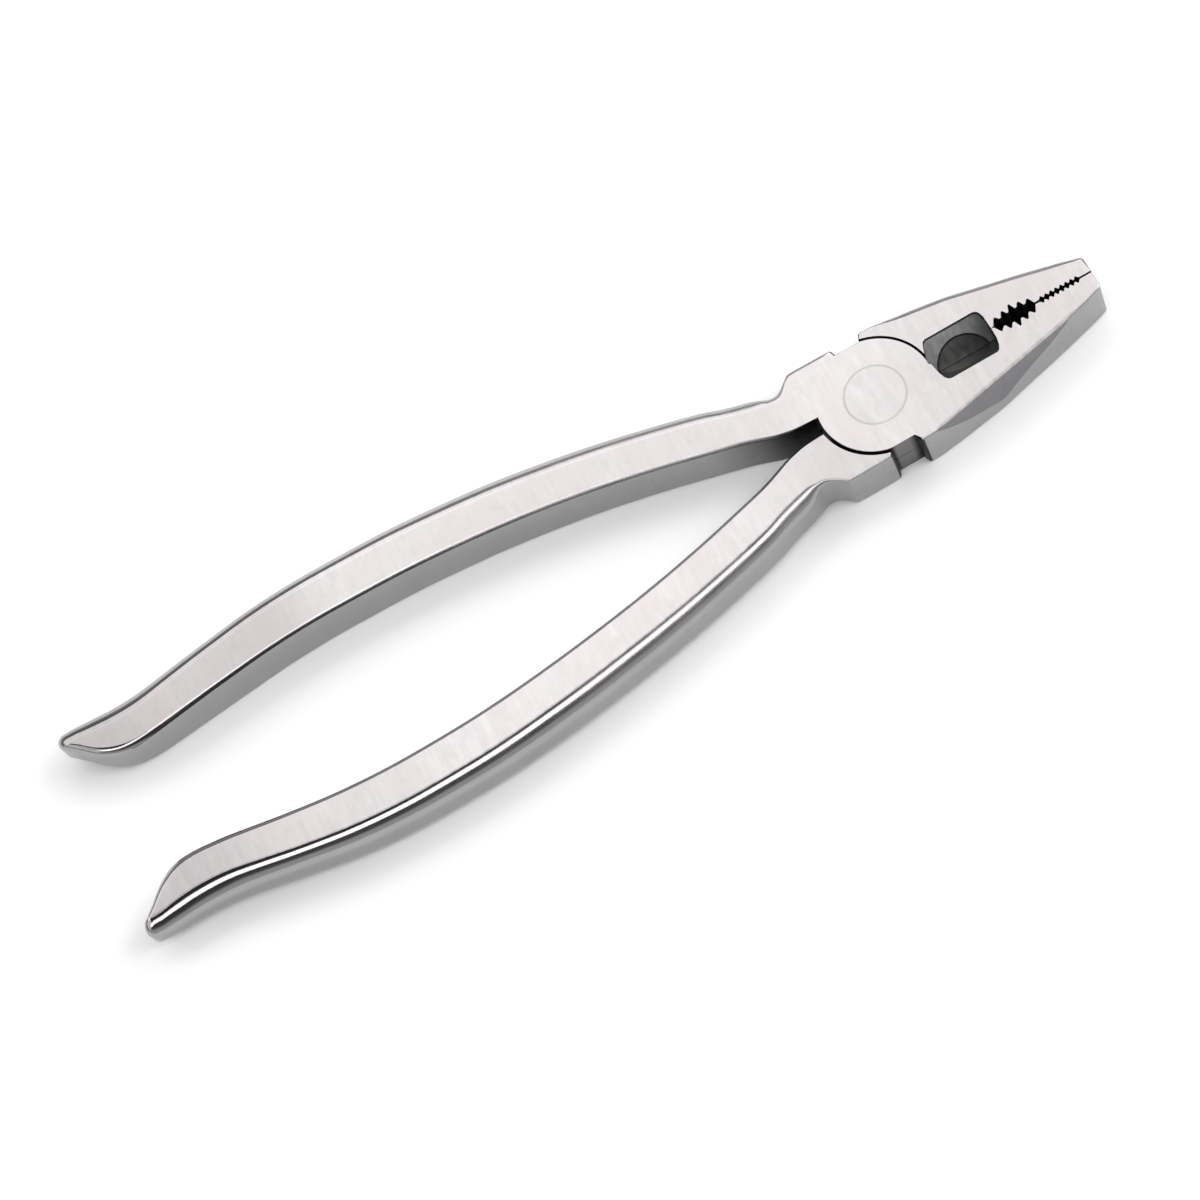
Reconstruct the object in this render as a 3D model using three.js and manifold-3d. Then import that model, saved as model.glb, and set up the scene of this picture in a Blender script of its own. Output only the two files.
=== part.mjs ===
// Combination pliers with a flush riveted lap joint.
// Frame: origin on the pivot axis at the lower flat face, +X to the jaw tips, +Y to the upper jaw, +Z up
// through the thickness. Millimetres. Modelled with the jaws closed.
import * as THREE from 'three';
import { mergeVertices } from 'three/addons/utils/BufferGeometryUtils.js';
import Module from 'manifold-3d';

// ---- driving dimensions (mm) --------------------------------------------------------------------
const T = 10.4; // thickness over the two flat faces
const LAYER_GAP = 0.1; // between the two discs of the lap joint
const DISC_R = 11.15; // disc of the lap joint
const JAW_ARC_R = 11.6; // seat turned into the other half's jaw
const SHOULDER_ARC_R = 11.85; // seat turned into the other half's shoulder
const FLAT_Y = 10.88; // flats on the disc at the two joint notches
const PART = 0.16; // half the gap between the closed jaws at the nose
const BLADE_PART = 0.05; // the same between the cutting edges
const FINE_CREST = 0.22; // the crests of the fine teeth stand back this far
const RIVET_HEAD_R = 5.8;
const RIVET_SHANK_R = 4.0;
const RIVET_SINK = 2.0; // depth of the countersunk heads
const RIVET_CLEAR = 0.08; // radial clearance in the bore
const WINDOW_HALF = 4.7; // half width of the cutter window
const WINDOW_WALL = 0.8; // upright rim of the window before the bevel
const BLADE_LAND = 0.45; // height above mid plane where the bevel meets the closing plane
const SPOT_R = 5.6; // round ground facet on each blade bevel
const SPOT_X = 17.6;
const SPOT_BELOW = 1.1; // its centre, past the cutting edge along the bevel
const EDGE_R = 0.38; // broken outer edges of the head
const SHOULDER_Y = 0.62; // bevel on the shoulder's outer edge, on the upper face
const SHOULDER_Z = 0.34;
const BEVEL_Y = 1.0; // bevel on the jaw's outer edge, on the face away from the ground facet
const BEVEL_Z = 0.55;
const INNER_Y = 0.75; // bevel of the handle's inner edges, as parts of the inner radius in the table below
const INNER_Z = 0.45;
const FACET_SLOPE = 0.2083; // facet ground on the jaw's outer side: y = FACET_Y + slope (x - 8) + lean (z - FACET_Z)
const FACET_LEAN = 0.12;
const FACET_Y = -12.3;
const FACET_Z = T - 2.8;
const SEAM_R = 0.12; // broken edge of the disc
const TOOTH_R = 0.06; // broken edges along the closing line
const FILLET_STEPS = 3;

// Handle stations: x, inner wall y, outer wall y, outer fillet, inner fillet, loss of height per face
const HANDLE = [
  [-18.5, 2.2, 11.12, 1.9, 0.6, 0],
  [-20, 2.5, 12.15, 2.9, 0.8, 0],
  [-25, 4.2, 13.65, 3.15, 0.95, 0],
  [-30, 5.5, 15.4, 3.2, 1.0, 0],
  [-40, 8.1, 18.1, 3.3, 1.0, 0],
  [-50, 10.4, 20.57, 3.5, 1.0, 0],
  [-60, 12.3, 22.65, 3.7, 1.0, 0],
  [-70, 13.8, 24.35, 3.8, 1.0, 0],
  [-80, 14.9, 25.5, 3.8, 1.0, 0],
  [-90, 15.65, 26.3, 3.7, 1.0, 0],
  [-100, 15.95, 26.55, 3.6, 1.0, 0],
  [-110, 15.95, 26.5, 3.5, 1.0, 0],
  [-120, 15.3, 25.8, 3.5, 1.05, 0.05],
  [-130, 14.0, 24.3, 3.5, 1.15, 0.2],
  [-140, 12.5, 22.75, 3.8, 1.3, 0.5],
];
// Handle end, walls and edges of the flat, paired from the outer to the inner side: xo, yo, fxo, fyo, xi, yi, fxi, fyi
const END = [
  [-144, 22.3, -144, 18.3, -144, 12.05, -144, 13.4],
  [-148, 22.1, -147.6, 18.05, -148.0, 11.8, -147.7, 13.2],
  [-151.5, 22.25, -150.8, 18.15, -151.6, 12.2, -150.9, 13.6],
  [-154.7, 22.6, -153.7, 18.5, -154.6, 13.4, -153.7, 14.65],
  [-157.2, 22.8, -156.1, 18.95, -157.0, 14.95, -156.0, 16.1],
  [-159.2, 22.95, -158.0, 19.4, -159.0, 16.95, -158.1, 17.95],
];
const NOSE_C = [-160.65, 21.05]; // centre of the rounded nose
const NOSE_R = 1.9;
const NOSE_TIP = [-159.6, 19.4]; // end of the flat
const NOSE_ANGLES = [92, 115, 140, 165, 190, 212, 232];

// Jaw outer edge, x and |y|
const JAW = [
  [2.95, 12.35], [3.4, 12.52], [5, 12.5], [8, 12.17], [12, 11.62], [16, 10.97], [19.6, 10.37], [20.6, 10.15], [24, 9.27],
  [28, 8.26], [32, 7.28], [36, 6.22], [40, 5.1], [43, 4.12], [44.2, 3.72], [44.62, 3.46], [44.78, 3.0],
];
// How far each hand-fitted handle stands off the common shape, x and y
const SET_LOWER = [[-165, 0.85], [-155, 1.0], [-148, 1.25], [-141, 1.33], [-133, 1.08], 
  [-125, 0.8], [-115, 0.62], [-100, 0.5], [-75, 0.45], [-50, 0.4], [-30, 0.25], [-16.5, 0]];
const SET_UPPER = [[-165, 1.55], [-155, 1.3], [-148, 0.78], [-140, 0.42], [-130, 0.06], 
  [-120, -0.08], [-100, -0.2], [-85, -0.1], [-68, 0.05], [-55, -0.05], [-40, -0.25], [-28, -0.3], [-16.5, 0]];
// Shoulder from the notch to the neck, x and |y|
const SHOULDER = [
  [-2.55, 11.05], [-2.85, 12.0], [-3.25, 12.35], [-7, 12.42], [-11.2, 12.45], [-12.1, 12.3], [-13, 11.6],
  [-14, 11.0], [-15, 10.52], [-16, 10.24], [-17.2, 10.42],
];
// Pipe grip valleys x and depth, crests between them, and the fine teeth of the nose
const COARSE = [[25.5, 1.5], [27.2, 1.9], [28.9, 2.4], [30.6, 1.95], [32.3, 1.55]];
const COARSE_CREST = [[26.35, 0.85], [28.05, 1.1], [29.75, 1.15], [31.45, 0.9]];
const FINE_X = [34.55, 35.58, 36.61, 37.64, 38.67, 39.7, 40.73, 41.76];
const FINE_DEPTH = 0.55;

const MID = T / 2;
const wasm = await Module();
wasm.setup();

const rad = (d) => (d * Math.PI) / 180;
const lerp = (a, b, t) => a + (b - a) * t;

// Catmull-Rom through table rows, denser where asked
function smooth(rows, step) {
  const out = [];
  for (let i = 0; i < rows.length - 1; i++) {
    const p0 = rows[Math.max(0, i - 1)], p1 = rows[i], p2 = rows[i + 1], p3 = rows[Math.min(rows.length - 1, i + 2)];
    const n = Math.max(1, Math.round(Math.hypot(p2[0] - p1[0], p2[1] - p1[1]) / step));
    for (let k = 0; k < n; k++) {
      const t = k / n;
      out.push(p1.map((_, j) => {
        const m1 = (p2[j] - p0[j]) / 2;
        const m2 = (p3[j] - p1[j]) / 2;
        const t2 = t * t, t3 = t2 * t;
        return (2 * t3 - 3 * t2 + 1) * p1[j] + (t3 - 2 * t2 + t) * m1 + (-2 * t3 + 3 * t2) * p2[j] + (t3 - t2) * m2;
      }));
    }
  }
  out.push([...rows[rows.length - 1]]);
  return out;
}

// The same on the lower face, where it runs on to the nose
function brokenLow(x) {
  const t = Math.min(1, Math.max(0, (x + 159.2) / 7));
  return t * t * (3 - 2 * t);
}

// Radius of the neck's outer edge on the upper face
function neck(x) {
  const t = Math.min(1, Math.max(0, (-12.3 - x) / 3.2));
  return EDGE_R + 1.35 * t * t * (3 - 2 * t);
}

// How far the handle's inner edges are a straight bevel: all of it, fading out into the rounded end
function broken(x) {
  const t = Math.min(1, Math.max(0, (x + 157) / 15));
  return t * t * (3 - 2 * t);
}

// One half, handle to +Y and jaw to -Y, disc in the upper layer. Rim vertices run counter-clockwise.
// Each: wall point w, edge of the flat f (or fillet r to derive it), fillet height rz, loss of height d.
// rb, rzb: the same on the lower face where it differs. bev, bevb: 0 for a quarter round, 1 for a straight bevel.
function rim() {
  const rimPts = [];
  const add = (x, y, r, extra = {}) => rimPts.push({ w: [x, y], r, rz: r, d: 0, ...extra });
  const arc = (radius, a0, a1, n, r) => {
    for (let i = 0; i <= n; i++) {
      const a = rad(lerp(a0, a1, i / n));
      add(radius * Math.cos(a), radius * Math.sin(a), r);
    }
  };
  // jaw, from the lower notch out to the tip
  const flatA = (Math.asin(FLAT_Y / DISC_R) * 180) / Math.PI;
  add(2.5, -11.3, EDGE_R * 0.6);
  for (const [x, y] of smooth(JAW.slice(0, 14), 4)) {
    const t = Math.min(1, Math.max(0, (x - 4.5) / 7.5));
    const g = t * t * (3 - 2 * t);
    const e = 1 - 0.3 * Math.min(1, Math.max(0, (x - 39) / 4));
    add(x, -y, EDGE_R, { rb: lerp(EDGE_R, BEVEL_Y * e, g), rzb: lerp(EDGE_R, BEVEL_Z * e, g), bevb: g });
  }
  for (const [x, y] of JAW.slice(14)) add(x, -y, EDGE_R * 0.8, { rb: BEVEL_Y * 0.5, rzb: BEVEL_Z * 0.6, bevb: 0.8 });
  add(44.78, -PART, TOOTH_R);
  add(42.75, -PART, TOOTH_R);
  // closing line with its teeth, back to the disc
  for (const x of [...FINE_X].reverse()) {
    add(x + 0.42, -FINE_CREST, TOOTH_R);
    add(x, -PART - FINE_DEPTH, TOOTH_R);
    add(x - 0.42, -FINE_CREST, TOOTH_R);
  }
  add(33.1, -PART, TOOTH_R);
  for (let i = COARSE.length - 1; i >= 0; i--) {
    const [x, d] = COARSE[i];
    add(x + 0.13, -d, TOOTH_R);
    add(x - 0.13, -d, TOOTH_R);
    if (i > 0) {
      const [cx, cd] = COARSE_CREST[i - 1];
      add(cx + 0.2, -cd, TOOTH_R);
      add(cx - 0.2, -cd, TOOTH_R);
    }
  }
  add(24.6, -PART, TOOTH_R);
  add(24.3, -BLADE_PART, TOOTH_R * 0.6);
  const a0 = (Math.asin(-BLADE_PART / DISC_R) * 180) / Math.PI;
  arc(DISC_R, a0, flatA, 20, SEAM_R);
  // notch floor and shoulder, to the handle
  add(-2.35, FLAT_Y, SEAM_R);
  const sh = smooth(SHOULDER, 1.6);
  for (const [x, y] of sh) {
    const t = Math.min(1, Math.max(0, (-12.4 - x) / 5.2));
    const r = EDGE_R + 0.75 * t * t, top = Math.max(r, neck(x));
    // bevel along the shoulder on the upper face, turning into the neck's round
    const g0 = Math.min(1, Math.max(0, (-3.3 - x) / 1.5)) * Math.min(1, Math.max(0, (x + 14) / 2));
    const g = g0 * g0 * (3 - 2 * g0);
    add(x, y, lerp(top, SHOULDER_Y, g), { rz: lerp(top, SHOULDER_Z, g), bev: g, rb: r, rzb: r, bevb: 0 });
  }
  const st = smooth(HANDLE, 4.6);
  const ladderOuter = [], ladderInner = [];
  for (const [x, , yo, ro, , dd] of st) {
    const d = Math.max(0, dd);
    ladderOuter.push(rimPts.length);
    const rz = Math.min(ro, MID - d - 0.4);
    const up = x > -27 ? Math.max(0, neck(x) - rz) : 0;
    add(x, yo, ro, { rz: rz + up, d, f: [x, yo - ro - up], rzb: rz, fb: [x, yo - ro] });
  }
  const loss = (x) => (x > -120 ? 0 : x < -162 ? 1.5 : 0.5 * Math.pow((-120 - x) / 20, 1.55));
  for (const [xo, yo, fx, fy] of END) {
    const d = Math.min(1.45, loss(xo));
    ladderOuter.push(rimPts.length);
    add(xo, yo, 0, { f: [fx, fy], rz: MID - d - 0.55, d });
  }
  const nose = [];
  NOSE_ANGLES.forEach((deg, i) => {
    const a = rad(deg);
    nose.push(rimPts.length);
    add(NOSE_C[0] + NOSE_R * Math.cos(a), NOSE_C[1] + NOSE_R * Math.sin(a), 0, {
      f: [NOSE_TIP[0] + 0.22 * Math.cos(a), NOSE_TIP[1] + 0.22 * Math.sin(a)],
      rz: lerp(MID - 1.45 - 0.55, 1.9, i / (NOSE_ANGLES.length - 1)), d: 1.45,
    });
  });
  for (let i = END.length - 1; i >= 0; i--) {
    const [xo, , , , xi, yi, fx, fy] = END[i];
    const d = Math.min(1.45, loss(xo));
    ladderInner.push(rimPts.length);
    const b = broken(xo), k = lerp(1, INNER_Y, b), b2 = brokenLow(xo), k2 = lerp(1, INNER_Y, b2);
    const rz = 1.35 + 0.35 * (i / END.length);
    add(xi, yi, 0, {
      f: [lerp(xi, fx, k), lerp(yi, fy, k)], rz: rz * lerp(1, INNER_Z, b), d, bev: b,
      fb: [lerp(xi, fx, k2), lerp(yi, fy, k2)], rzb: rz * lerp(1, INNER_Z, b2), bevb: b2,
    });
  }
  for (let i = st.length - 1; i >= 0; i--) {
    const [x, yi, , , ri, dd] = st[i];
    const d = Math.max(0, dd);
    ladderInner.push(rimPts.length);
    const b = broken(x);
    add(x, yi, ri, {
      d, f: [x, yi + ri * lerp(1, INNER_Y, b)], rz: ri * lerp(1, INNER_Z, b), bev: b,
      fb: [x, yi + ri * INNER_Y], rzb: ri * INNER_Z, bevb: 1,
    });
  }
  // slot edge and the lower left arc of the disc, down to the lower notch
  add(-16.6, 1.82, 0.4);
  add(-14.5, 1.72, 0.25);
  const a1 = 180 - (Math.asin(1.7 / DISC_R) * 180) / Math.PI;
  arc(DISC_R, a1, 180 + flatA, 22, SEAM_R);
  add(2.3, -FLAT_Y, SEAM_R);
  // edges of the flat where only a fillet is given
  const n = rimPts.length;
  for (let i = 0; i < n; i++) {
    const p = rimPts[i];
    p.bev = p.bev || 0;
    p.bevb = p.bevb === undefined ? p.bev : p.bevb;
    p.rzb = p.rzb || p.rz;
    if (p.f) {
      p.fb = p.fb || p.f;
      continue;
    }
    const a = rimPts[(i + n - 1) % n].w, b = rimPts[(i + 1) % n].w;
    const e1 = [p.w[0] - a[0], p.w[1] - a[1]], e2 = [b[0] - p.w[0], b[1] - p.w[1]];
    const l1 = Math.hypot(...e1), l2 = Math.hypot(...e2);
    const n1 = [-e1[1] / l1, e1[0] / l1], n2 = [-e2[1] / l2, e2[0] / l2]; // inward
    let m = [n1[0] + n2[0], n1[1] + n2[1]];
    const ml = Math.hypot(...m);
    m = [m[0] / ml, m[1] / ml];
    const c = Math.max(0.45, m[0] * n1[0] + m[1] * n1[1]);
    p.f = [p.w[0] + (m[0] * p.r) / c, p.w[1] + (m[1] * p.r) / c];
    p.fb = p.rb ? [p.w[0] + (m[0] * p.rb) / c, p.w[1] + (m[1] * p.rb) / c] : p.f;
  }
  return { rimPts, ladderOuter, ladderInner: ladderInner.reverse(), nose };
}

function halfBlank() {
  const { rimPts, ladderOuter, ladderInner, nose } = rim();
  const n = rimPts.length, K = FILLET_STEPS;
  const pos = [], tri = [];
  const rings = [];
  const ring = (fn) => {
    const base = pos.length / 3;
    for (const p of rimPts) pos.push(...fn(p));
    rings.push(base);
  };
  const edge = (k, bev) => {
    const a = (k / K) * Math.PI / 2, u = k / K;
    return [lerp(Math.sin(a), u, bev), lerp(1 - Math.cos(a), u, bev)];
  };
  for (let k = 0; k <= K; k++) { // upper edge, from the flat to the wall
    ring((p) => {
      const [s, c] = edge(k, p.bev);
      return [lerp(p.f[0], p.w[0], s), lerp(p.f[1], p.w[1], s), T - p.d - p.rz * c];
    });
  }
  for (let k = K; k >= 0; k--) {
    ring((p) => {
      const [s, c] = edge(k, p.bevb);
      return [lerp(p.fb[0], p.w[0], s), lerp(p.fb[1], p.w[1], s), p.d + p.rzb * c];
    });
  }
  for (let r = 0; r < rings.length - 1; r++) {
    for (let i = 0; i < n; i++) {
      const j = (i + 1) % n, a = rings[r] + i, b = rings[r] + j, c = rings[r + 1] + i, d = rings[r + 1] + j;
      tri.push(a, c, d, a, d, b);
    }
  }
  // caps: the head as one flat polygon, the handle as a ladder, the nose as a fan
  const headIdx = [];
  const root = ladderOuter[0], rootIn = ladderInner[0];
  for (let i = rootIn; i < n; i++) headIdx.push(i);
  for (let i = 0; i <= root; i++) headIdx.push(i);
  const lastO = ladderOuter[ladderOuter.length - 1], lastI = ladderInner[ladderInner.length - 1];
  const fan = [lastO, ...nose, lastI];
  const capOf = (key) => {
    const at = (i) => rimPts[i][key];
    const area2 = ([a, b, c]) => (at(b)[0] - at(a)[0]) * (at(c)[1] - at(a)[1]) - (at(b)[1] - at(a)[1]) * (at(c)[0] - at(a)[0]);
    const out = THREE.ShapeUtils.triangulateShape(headIdx.map((i) => new THREE.Vector2(...at(i))), [])
      .map((t) => t.map((k) => headIdx[k]))
      .map((t) => (area2(t) > 0 ? t : [t[0], t[2], t[1]]));
    for (let i = 0; i < ladderOuter.length - 1; i++) {
      const o0 = ladderOuter[i], o1 = ladderOuter[i + 1], n0 = ladderInner[i], n1 = ladderInner[i + 1];
      out.push([o0, o1, n1], [o0, n1, n0]);
    }
    for (let i = 1; i < fan.length - 1; i++) out.push([fan[0], fan[i], fan[i + 1]]);
    return out;
  };
  const top = rings[0], bottom = rings[rings.length - 1];
  for (const [a, b, c] of capOf('f')) tri.push(top + a, top + b, top + c);
  for (const [a, b, c] of capOf('fb')) tri.push(bottom + a, bottom + c, bottom + b);
  return toManifold(pos, tri);
}

function toManifold(pos, tri) {
  const g = new THREE.BufferGeometry();
  g.setAttribute('position', new THREE.Float32BufferAttribute(pos, 3));
  g.setIndex(tri);
  return geomToManifold(g);
}

function geomToManifold(geometry) {
  let g = geometry.clone();
  g.deleteAttribute('normal');
  g.deleteAttribute('uv');
  g = mergeVertices(g, 1e-5);
  const m = new wasm.Manifold(new wasm.Mesh({
    numProp: 3,
    vertProperties: new Float32Array(g.attributes.position.array),
    triVerts: new Uint32Array(g.index.array),
  }));
  return m;
}

function fromManifold(m) {
  const out = m.getMesh();
  const g = new THREE.BufferGeometry();
  g.setAttribute('position', new THREE.Float32BufferAttribute(out.vertProperties.slice(), 3));
  g.setIndex(new THREE.Uint32BufferAttribute(out.triVerts.slice(), 1));
  g.computeVertexNormals();
  return g;
}

function prism(points, z0, z1) {
  const g = new THREE.ExtrudeGeometry(new THREE.Shape(points.map(([x, y]) => new THREE.Vector2(x, y))), {
    depth: z1 - z0, bevelEnabled: false,
  });
  g.translate(0, 0, z0);
  return geomToManifold(g);
}

// Turned cutter: profile of [radius, z] pairs about +Z
function turned(profile, segments) {
  const g = new THREE.LatheGeometry(profile.map(([r, z]) => new THREE.Vector2(r, z)), segments);
  g.rotateX(Math.PI / 2);
  const m = geomToManifold(g);
  return m;
}

// Clearance for the other half's disc in the lower layer: one radius to the jaw side, one to the shoulder side
function jointCut() {
  const pts = [];
  const z1 = MID + LAYER_GAP / 2;
  const right = 34, left = 34;
  for (let i = 0; i <= right; i++) {
    const a = rad(lerp(-90, 90, i / right));
    pts.push([JAW_ARC_R * Math.cos(a), JAW_ARC_R * Math.sin(a)]);
  }
  // open the two notches past the outer edge of the head
  pts.push([1.6, 14], [-2.2, 14]);
  for (let i = 0; i <= left; i++) {
    const a = rad(lerp(101, 259, i / left));
    pts.push([SHOULDER_ARC_R * Math.cos(a), SHOULDER_ARC_R * Math.sin(a)]);
  }
  pts.push([-2.2, -14], [1.6, -14]);
  return prism(pts, -1, z1);
}

// Cutter window on the upper side: everything above the blade bevel inside the window outline
const SLOPE = (T - WINDOW_WALL - MID - BLADE_LAND) / (WINDOW_HALF - BLADE_PART);
function windowCut(outline) {
  const block = prism(outline, MID - 2, T + 2);
  const yz = [
    [1.0, MID + BLADE_LAND - SLOPE * (1.0 + BLADE_PART)], [-BLADE_PART, MID + BLADE_LAND], [-WINDOW_HALF, T - WINDOW_WALL],
    [-WINDOW_HALF - 2, T - WINDOW_WALL + 2 * SLOPE], [-WINDOW_HALF - 2, T + 4], [1.0, T + 4],
  ];
  // (y, z) section carried along x
  const g = new THREE.ExtrudeGeometry(new THREE.Shape(yz.map(([y, z]) => new THREE.Vector2(y, z))), { depth: 20, bevelEnabled: false });
  g.applyMatrix4(new THREE.Matrix4().set(0, 0, 1, 8, 1, 0, 0, 0, 0, 1, 0, 0, 0, 0, 0, 1));
  return block.intersect(geomToManifold(g));
}

// Round ground facet, square to the bevel, reaching the cutting edge at mid thickness
function spotCut() {
  const alpha = Math.atan(SLOPE);
  const along = [0, Math.cos(alpha), -Math.sin(alpha)]; // down the bevel, past the cutting edge
  const normal = [0, Math.sin(alpha), Math.cos(alpha)];
  const edge = [SPOT_X, -BLADE_PART, MID + 0.02];
  const c = edge.map((v, i) => v + along[i] * SPOT_BELOW);
  const h = 9;
  const g = new THREE.CylinderGeometry(SPOT_R, SPOT_R, h, 48);
  g.translate(0, h / 2, 0);
  g.applyMatrix4(new THREE.Matrix4().makeBasis(new THREE.Vector3(1, 0, 0), new THREE.Vector3(...normal), new THREE.Vector3(...along.map((v) => -v))));
  g.translate(...c);
  return geomToManifold(g);
}

const WINDOW_UPPER = [[11.35, 1], [11.45, -0.2], [11.6, -1.1], [11.95, -2.9], [12.35, -3.9], [13.2, -WINDOW_HALF], [23.0, -WINDOW_HALF], [23.6, -3.9], [24.05, -2.2], [24.1, 1]];
const WINDOW_LOWER = [[10.5, 1], [10.5, -0.5], [11.3, -2.0], [11.95, -3.9], [12.7, -WINDOW_HALF], [22.7, -WINDOW_HALF], [23.5, -4.2], [24.0, -2.9], [24.1, 1]];

function boreCut() {
  const c = RIVET_CLEAR;
  return turned([
    [0, -1], [RIVET_HEAD_R + c + 0.9, -1], [RIVET_HEAD_R + c, 0], [RIVET_SHANK_R + c, RIVET_SINK],
    [RIVET_SHANK_R + c, T - RIVET_SINK], [RIVET_HEAD_R + c, T], [RIVET_HEAD_R + c + 0.9, T + 1], [0, T + 1],
  ], 56);
}

// Facet ground on the jaw's outer side, leaning in towards the upper face
function facetCut() {
  const normal = new THREE.Vector3(FACET_SLOPE, -1, FACET_LEAN).normalize();
  const along = new THREE.Vector3(1, FACET_SLOPE, 0).normalize();
  const g = new THREE.BoxGeometry(60, 28, 6);
  g.translate(18, 0, 3);
  g.applyMatrix4(new THREE.Matrix4().makeBasis(along, new THREE.Vector3().crossVectors(normal, along), normal));
  g.translate(8, FACET_Y, FACET_Z);
  return geomToManifold(g);
}

function flipZ(m) { // mirror through the mid plane, for cutters
  return m.mirror([0, 0, 1]).translate([0, 0, T]);
}

function makeHalf() {
  let h = halfBlank();
  h = h.subtract(jointCut());
  h = h.subtract(boreCut());
  h = h.subtract(windowCut(WINDOW_UPPER));
  h = h.subtract(flipZ(windowCut(WINDOW_LOWER)));
  h = h.subtract(spotCut());
  h = h.subtract(flipZ(spotCut()));
  h = h.subtract(facetCut());
  return h;
}

// Cubic through a table's rows, level at the neck
function setOff(table, x) {
  const n = table.length;
  if (x >= table[n - 1][0]) return 0;
  let i = 0;
  while (i < n - 2 && x > table[i + 1][0]) i++;
  const [x0, y0] = table[i], [x1, y1] = table[i + 1];
  const [xa, ya] = table[Math.max(0, i - 1)], [xb, yb] = table[Math.min(n - 1, i + 2)];
  const m0 = (y1 - ya) / (x1 - xa), m1 = i === n - 2 ? 0 : (yb - y0) / (xb - x0);
  const h = x1 - x0, t = (x - x0) / h;
  return (1 + 2 * t) * (1 - t) ** 2 * y0 + t * (1 - t) ** 2 * h * m0 + t * t * (3 - 2 * t) * y1 + t * t * (t - 1) * h * m1;
}

function bendHandle(geometry, table) {
  const p = geometry.attributes.position;
  for (let i = 0; i < p.count; i++) p.setY(i, p.getY(i) + setOff(table, p.getX(i)));
  geometry.computeVertexNormals();
}

const steel = (hex, roughness) => new THREE.MeshStandardMaterial({ color: hex, roughness, metalness: 1 });

const group = new THREE.Group();
const halfGeometry = fromManifold(makeHalf());
const lower = new THREE.Mesh(halfGeometry, steel(0xdcd7d6, 0.34));
lower.name = 'lower_jaw_lever';
group.add(lower);

const turnedOver = halfGeometry.clone();
turnedOver.translate(0, 0, -MID);
turnedOver.rotateX(Math.PI);
turnedOver.translate(0, 0, MID);
bendHandle(halfGeometry, SET_LOWER);
bendHandle(turnedOver, SET_UPPER);
const upper = new THREE.Mesh(turnedOver, steel(0xd8d4d4, 0.34));
upper.name = 'upper_jaw_lever';
group.add(upper);

const rivetGeometry = fromManifold(turned([
  [0, 0], [RIVET_HEAD_R - 0.08, 0], [RIVET_HEAD_R, 0.06], [RIVET_SHANK_R, RIVET_SINK], [RIVET_SHANK_R, T - RIVET_SINK],
  [RIVET_HEAD_R, T - 0.06], [RIVET_HEAD_R - 0.08, T], [0, T],
], 56));
const rivet = new THREE.Mesh(rivetGeometry, steel(0xd6d2d1, 0.38));
rivet.name = 'pivot_rivet';
group.add(rivet);

export default group;
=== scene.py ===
import math

import bpy
import numpy as np
from mathutils import Matrix, Vector
from mathutils.geometry import tessellate_polygon


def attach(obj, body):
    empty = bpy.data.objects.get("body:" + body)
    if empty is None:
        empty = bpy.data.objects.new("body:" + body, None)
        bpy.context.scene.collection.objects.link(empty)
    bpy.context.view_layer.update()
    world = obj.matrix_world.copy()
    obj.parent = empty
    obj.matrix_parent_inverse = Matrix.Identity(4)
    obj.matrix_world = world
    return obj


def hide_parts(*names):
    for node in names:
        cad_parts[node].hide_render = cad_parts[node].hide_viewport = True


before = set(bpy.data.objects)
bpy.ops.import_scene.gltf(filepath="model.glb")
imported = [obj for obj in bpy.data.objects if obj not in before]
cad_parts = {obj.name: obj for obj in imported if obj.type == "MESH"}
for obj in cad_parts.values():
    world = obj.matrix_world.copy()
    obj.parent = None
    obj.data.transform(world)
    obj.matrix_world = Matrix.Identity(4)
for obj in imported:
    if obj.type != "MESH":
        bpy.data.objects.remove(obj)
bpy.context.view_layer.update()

# ---- dimensions (mm), the same as in the CAD part -------------------------------------------------
T = 10.4
MID = T / 2
LAYER_GAP = 0.1
DISC_R = 11.15
JAW_ARC_R = 11.6
SHOULDER_ARC_R = 11.85
FLAT_Y = 10.88
PART = 0.16
BLADE_PART = 0.05
FINE_CREST = 0.22
RIVET_HEAD_R = 5.8
RIVET_SHANK_R = 4.0
RIVET_SINK = 2.0
RIVET_CLEAR = 0.01
WINDOW_HALF = 4.7
WINDOW_WALL = 0.8
BLADE_LAND = 0.45
SPOT_R = 5.6
SPOT_X = 17.6
SPOT_BELOW = 1.1
EDGE_R = 0.38
FACET_SLOPE = 0.2083
FACET_LEAN = 0.12
FACET_Y = -12.3
FACET_Z = T - 2.8
SHOULDER_Y = 0.62
SHOULDER_Z = 0.34
BEVEL_Y = 1.0
BEVEL_Z = 0.55
INNER_Y = 0.75
INNER_Z = 0.45
SEAM_R = 0.1
TOOTH_R = 0.05
K = 12  # fillet steps

HANDLE = [
    [-18.5, 2.2, 11.12, 1.9, 0.6, 0],
    [-20, 2.5, 12.15, 2.9, 0.8, 0],
    [-25, 4.2, 13.65, 3.15, 0.95, 0],
    [-30, 5.5, 15.4, 3.2, 1.0, 0],
    [-40, 8.1, 18.1, 3.3, 1.0, 0],
    [-50, 10.4, 20.57, 3.5, 1.0, 0],
    [-60, 12.3, 22.65, 3.7, 1.0, 0],
    [-70, 13.8, 24.35, 3.8, 1.0, 0],
    [-80, 14.9, 25.5, 3.8, 1.0, 0],
    [-90, 15.65, 26.3, 3.7, 1.0, 0],
    [-100, 15.95, 26.55, 3.6, 1.0, 0],
    [-110, 15.95, 26.5, 3.5, 1.0, 0],
    [-120, 15.3, 25.8, 3.5, 1.05, 0.05],
    [-130, 14.0, 24.3, 3.5, 1.15, 0.2],
    [-140, 12.5, 22.75, 3.8, 1.3, 0.5],
]
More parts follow.
